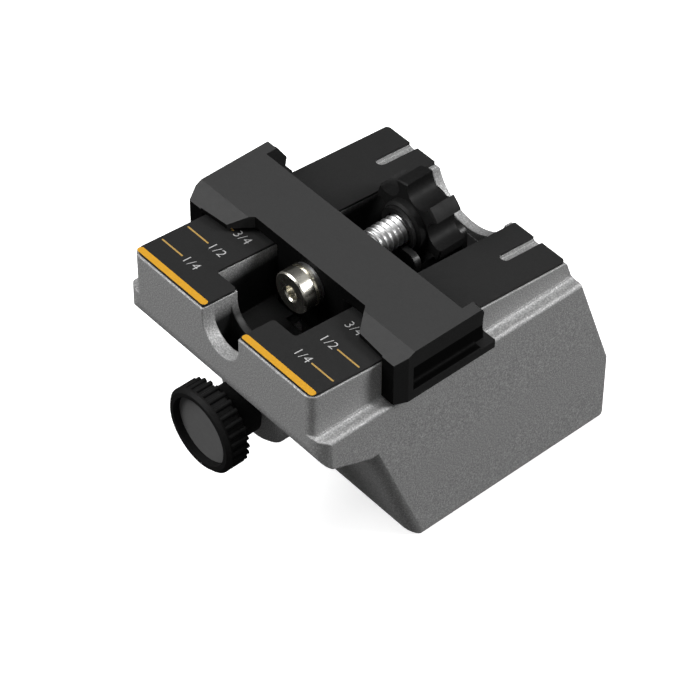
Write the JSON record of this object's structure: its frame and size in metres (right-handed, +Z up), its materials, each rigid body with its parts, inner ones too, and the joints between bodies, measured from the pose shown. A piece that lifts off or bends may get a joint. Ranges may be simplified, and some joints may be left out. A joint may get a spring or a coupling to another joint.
{
  "type": "dovetail jig",
  "caption": "Cast dovetail jig with a sliding fence moved by a star nut, scaled deck plates and a knob-driven board clamp.",
  "frame": {"origin": "centre of the object's plan outline, on its resting face", "axes": "+X to the right seen from the clamp knob, +Y from the knob to the rear wall, +Z up"},
  "size_m": [0.062, 0.0814, 0.0592],
  "materials": {
    "casting_paint": "fine hammered grey paint",
    "plate_black": "fine textured black",
    "fence_black": "satin black",
    "moulded_black": "satin",
    "disc_grey": "matte",
    "zinc_steel": "zinc plated",
    "nickel": "bright nickel plated",
    "brass_insert": "machined",
    "washer_black": "black oxide",
    "pad_rubber": "matte"
  },
  "bodies": {
    "base": {"body_casting": "casting_paint", "scale_plate_left": "plate_black", "scale_plate_right": "plate_black", "nut_bracket": "washer_black", "bracket_screws": "zinc_steel", "thrust_washer_front": "washer_black", "thrust_washer_rear": "washer_black", "boss_bushing": "brass_insert"},
    "fence": {"fence_bar": "fence_black", "lead_rod": "zinc_steel", "rod_head": "nickel", "rod_head_washer": "zinc_steel", "rod_lock_nut": "zinc_steel", "keeper_plate": "zinc_steel", "keeper_screws": "zinc_steel"},
    "nut": {"star_nut": "moulded_black", "star_insert": "brass_insert"},
    "carriage": {"clamp_shoe": "zinc_steel", "shoe_facing": "pad_rubber"},
    "knob": {"clamp_knob": "moulded_black", "knob_face_disc": "disc_grey", "knob_lock_nut": "zinc_steel", "clamp_screw": "zinc_steel", "shoe_clip": "washer_black"}
  },
  "joints": [
    {"name": "fence_slide", "type": "slide", "parent": "base", "child": "fence", "axis": [0, 1, 0], "range_m": [-0.0048, 0.0076]},
    {"name": "nut_spin", "type": "hinge", "parent": "base", "child": "nut", "pos_m": [0, 0.016, 0.04983], "axis": [0, 1, 0], "range_deg": [-2156, 1362]},
    {"name": "clamp_advance", "type": "slide", "parent": "base", "child": "carriage", "axis": [0, 1, 0], "range_m": [-0.0074, 0.0003]},
    {"name": "knob_spin", "type": "hinge", "parent": "carriage", "child": "knob", "pos_m": [0, -0.0345, 0.0277], "axis": [0, 1, 0], "range_deg": [-2099, 86]}
  ],
  "couplings": [
    {"joint": "nut_spin", "follows": "fence_slide", "rad_per_m": -4947.3},
    {"joint": "knob_spin", "follows": "clamp_advance", "rad_per_m": 4947.3}
  ]
}
